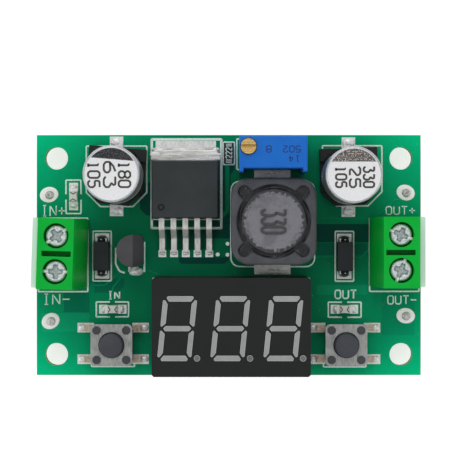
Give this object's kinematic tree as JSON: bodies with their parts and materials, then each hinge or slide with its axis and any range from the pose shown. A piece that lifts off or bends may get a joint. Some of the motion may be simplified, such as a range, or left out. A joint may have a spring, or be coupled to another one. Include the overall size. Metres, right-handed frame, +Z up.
{
  "type": "buck converter module",
  "caption": "Green circuit board that steps a voltage down, with screw terminals, a trimmer, push buttons and a seven-segment voltage display.",
  "frame": {"origin": "centre of the four mounting holes, on the board's underside", "axes": "+X along the board from input to output, +Y towards the capacitors' edge, +Z up through the parts"},
  "size_m": [0.0563, 0.035, 0.0134],
  "materials": {
    "solder_mask": "glossy solder mask",
    "solder": "bright solder",
    "tin": "matt tin plating",
    "black_plastic": "matt moulded",
    "can": "coated aluminium",
    "mould": "matt moulding compound",
    "ferrite": "fired ferrite",
    "ferrite_core": "ground ferrite",
    "copper": "enamelled copper wire",
    "resin": "cured resin",
    "blue_plastic": "moulded thermoplastic",
    "brass": "turned brass",
    "white_plastic": "lamp carrier",
    "lens": "clear lens",
    "display_black": "printed matt face",
    "segment": "diffusing resin, unlit",
    "cover_steel": "brushed steel",
    "button_plastic": "moulded",
    "green_plastic": "moulded",
    "zinc": "zinc plated"
  },
  "bodies": {
    "board": {"circuit_board": "solder_mask", "controller_body": "mould", "controller_leads": "tin", "display_back": "resin", "display_housing": "display_black", "display_pins": "tin", "display_segments": "segment", "inductor_core": "ferrite_core", "inductor_resin": "resin", "inductor_shield": "ferrite", "inductor_straps": "tin", "inductor_winding": "copper", "input_capacitor_base": "black_plastic", "input_capacitor_can": "can", "input_capacitor_leads": "tin", "input_diode_body": "mould", "input_diode_leads": "tin", "lamp_bases": "white_plastic", "lamp_ends": "tin", "lamp_lenses": "lens", "left_switch_base": "black_plastic", "left_switch_cover": "cover_steel", "left_switch_dome": "cover_steel", "left_switch_legs": "tin", "left_terminal_contacts": "tin", "left_terminal_housing": "green_plastic", "output_capacitor_base": "black_plastic", "output_capacitor_can": "can", "output_capacitor_leads": "tin", "output_diode_body": "mould", "output_diode_leads": "tin", "regulator_body": "mould", "regulator_leads": "tin", "regulator_tab": "tin", "resistor_bodies": "mould", "resistor_ends": "tin", "right_switch_base": "black_plastic", "right_switch_cover": "cover_steel", "right_switch_dome": "cover_steel", "right_switch_legs": "tin", "right_terminal_contacts": "tin", "right_terminal_housing": "green_plastic", "small_regulator_body": "mould", "small_regulator_leads": "tin", "solder_pads": "solder", "trimmer_housing": "blue_plastic", "trimmer_pins": "tin", "underside_solder": "solder", "wire_pad_solder": "solder"},
    "left_button": {"left_switch_button": "button_plastic"},
    "right_button": {"right_switch_button": "button_plastic"},
    "trimmer_screw": {"trimmer_screw": "brass"},
    "left_lower_screw": {"left_lower_screw": "zinc"},
    "left_lower_cage": {"left_lower_cage": "zinc"},
    "left_upper_screw": {"left_upper_screw": "zinc"},
    "left_upper_cage": {"left_upper_cage": "zinc"},
    "right_lower_screw": {"right_lower_screw": "zinc"},
    "right_lower_cage": {"right_lower_cage": "zinc"},
    "right_upper_screw": {"right_upper_screw": "zinc"},
    "right_upper_cage": {"right_upper_cage": "zinc"}
  },
  "joints": [
    {"name": "left_button_press", "type": "slide", "parent": "board", "child": "left_button", "axis": [0, 0, -1], "range_m": [0, 0.00025], "stiffness_N_per_m": 3000, "springref_m": -0.0001, "deforming": ["left_switch_dome"]},
    {"name": "right_button_press", "type": "slide", "parent": "board", "child": "right_button", "axis": [0, 0, -1], "range_m": [0, 0.00025], "stiffness_N_per_m": 3000, "springref_m": -0.0001, "deforming": ["right_switch_dome"]},
    {"name": "trimmer_turn", "type": "hinge", "parent": "board", "child": "trimmer_screw", "pos_m": [0.00276, 0.0155, 0.0116], "axis": [0, 0, 1], "continuous": true},
    {"name": "left_lower_screw_turn", "type": "hinge", "parent": "board", "child": "left_lower_screw", "pos_m": [-0.02423, -0.00198, 0.0096], "axis": [0, 0, -1], "range_deg": [0, 1008]},
    {"name": "left_lower_cage_lift", "type": "slide", "parent": "board", "child": "left_lower_cage", "axis": [0, 0, 1], "range_m": [0, 0.0014]},
    {"name": "left_upper_screw_turn", "type": "hinge", "parent": "board", "child": "left_upper_screw", "pos_m": [-0.02407, 0.00302, 0.0096], "axis": [0, 0, -1], "range_deg": [0, 1008]},
    {"name": "left_upper_cage_lift", "type": "slide", "parent": "board", "child": "left_upper_cage", "axis": [0, 0, 1], "range_m": [0, 0.0014]},
    {"name": "right_lower_screw_turn", "type": "hinge", "parent": "board", "child": "right_lower_screw", "pos_m": [0.0241, -0.0018, 0.0096], "axis": [0, 0, -1], "range_deg": [0, 1008]},
    {"name": "right_lower_cage_lift", "type": "slide", "parent": "board", "child": "right_lower_cage", "axis": [0, 0, 1], "range_m": [0, 0.0014]},
    {"name": "right_upper_screw_turn", "type": "hinge", "parent": "board", "child": "right_upper_screw", "pos_m": [0.0241, 0.0032, 0.0096], "axis": [0, 0, -1], "range_deg": [0, 1008]},
    {"name": "right_upper_cage_lift", "type": "slide", "parent": "board", "child": "right_upper_cage", "axis": [0, 0, 1], "range_m": [0, 0.0014]}
  ],
  "couplings": [
    {"joint": "left_lower_screw_turn", "follows": "left_lower_cage_lift", "rad_per_m": 12566},
    {"joint": "left_upper_screw_turn", "follows": "left_upper_cage_lift", "rad_per_m": 12566},
    {"joint": "right_lower_screw_turn", "follows": "right_lower_cage_lift", "rad_per_m": 12566},
    {"joint": "right_upper_screw_turn", "follows": "right_upper_cage_lift", "rad_per_m": 12566}
  ]
}
